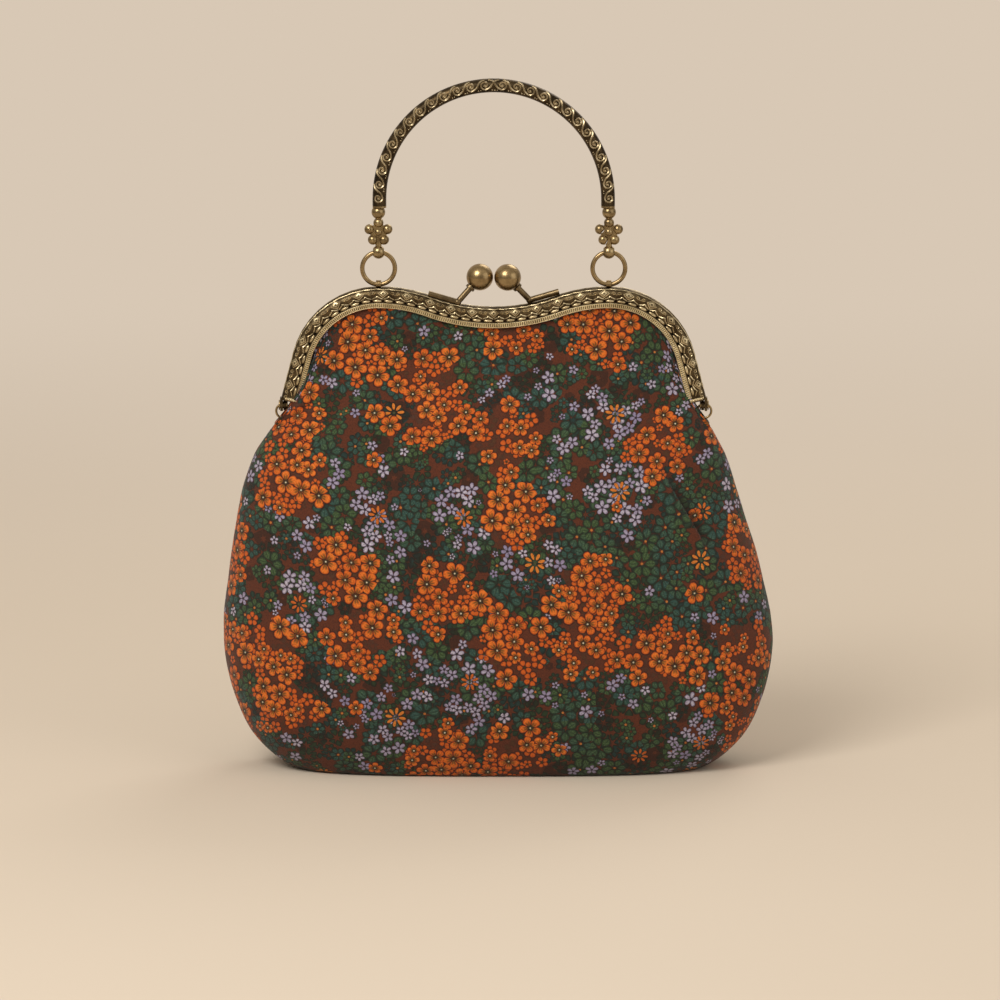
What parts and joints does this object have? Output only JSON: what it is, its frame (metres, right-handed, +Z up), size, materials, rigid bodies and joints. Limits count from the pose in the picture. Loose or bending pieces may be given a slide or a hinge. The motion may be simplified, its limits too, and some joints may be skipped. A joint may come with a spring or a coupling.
{
  "type": "kiss-lock frame handbag",
  "caption": "Small floral cloth handbag gathered into a hinged metal frame with a kiss-lock ball clasp, stitch holes, side loops and an arched metal handle on rings",
  "frame": {"origin": "centre of the base on the table", "axes": "+Z up, front faces -Y, +X to the right seen from the front"},
  "size_m": [0.2622, 0.0898, 0.3325],
  "materials": {
    "floral_cloth": "woven print cloth, brown ground with orange, lilac and green flowers",
    "lining": "plain cotton",
    "embossed_brass": "antique brass, dark recesses",
    "plain_brass": "antique brass, polished"
  },
  "bodies": {
    "bag": {"front_panel": "floral_cloth", "back_panel": "floral_cloth", "front_lining": "lining", "back_lining": "lining", "left_hinge_eyelet": "plain_brass", "right_hinge_eyelet": "plain_brass"},
    "front_half": {"front_frame": "embossed_brass", "front_mouth_panel": "floral_cloth", "front_mouth_lining": "lining", "front_clasp_arm": "plain_brass", "front_clasp_ball": "plain_brass"},
    "back_half": {"back_frame": "embossed_brass", "back_mouth_panel": "floral_cloth", "back_mouth_lining": "lining", "back_clasp_arm": "plain_brass", "back_clasp_ball": "plain_brass", "left_handle_lug": "plain_brass", "right_handle_lug": "plain_brass"},
    "rings": {"left_handle_ring": "plain_brass", "right_handle_ring": "plain_brass"},
    "grip": {"handle": "embossed_brass"},
    "left_loop": {"left_side_ring": "plain_brass"},
    "right_loop": {"right_side_ring": "plain_brass"}
  },
  "joints": [
    {"name": "front_open", "type": "hinge", "parent": "bag", "child": "front_half", "pos_m": [0, 0, 0.17547], "axis": [1, 0, 0], "range_deg": [0, 40], "deforming": ["front_mouth_panel", "front_mouth_lining"]},
    {"name": "back_open", "type": "hinge", "parent": "bag", "child": "back_half", "pos_m": [0, 0, 0.17547], "axis": [1, 0, 0], "range_deg": [-40, 0], "deforming": ["back_mouth_panel", "back_mouth_lining"]},
    {"name": "ring_swing", "type": "hinge", "parent": "back_half", "child": "rings", "pos_m": [-0.055, 0, 0.2337], "axis": [1, 0, 0], "range_deg": [-85, 85]},
    {"name": "handle_swing", "type": "hinge", "parent": "rings", "child": "grip", "pos_m": [-0.055, 0, 0.2493], "axis": [1, 0, 0], "range_deg": [-30, 30]},
    {"name": "left_loop_swing", "type": "hinge", "parent": "bag", "child": "left_loop", "pos_m": [-0.10095, 0, 0.17547], "axis": [1, 0, 0], "range_deg": [-20, 20]},
    {"name": "right_loop_swing", "type": "hinge", "parent": "bag", "child": "right_loop", "pos_m": [0.10095, 0, 0.17547], "axis": [1, 0, 0], "range_deg": [-20, 20]}
  ],
  "couplings": [
    {"joint": "back_open", "follows": "front_open", "ratio": -1}
  ]
}
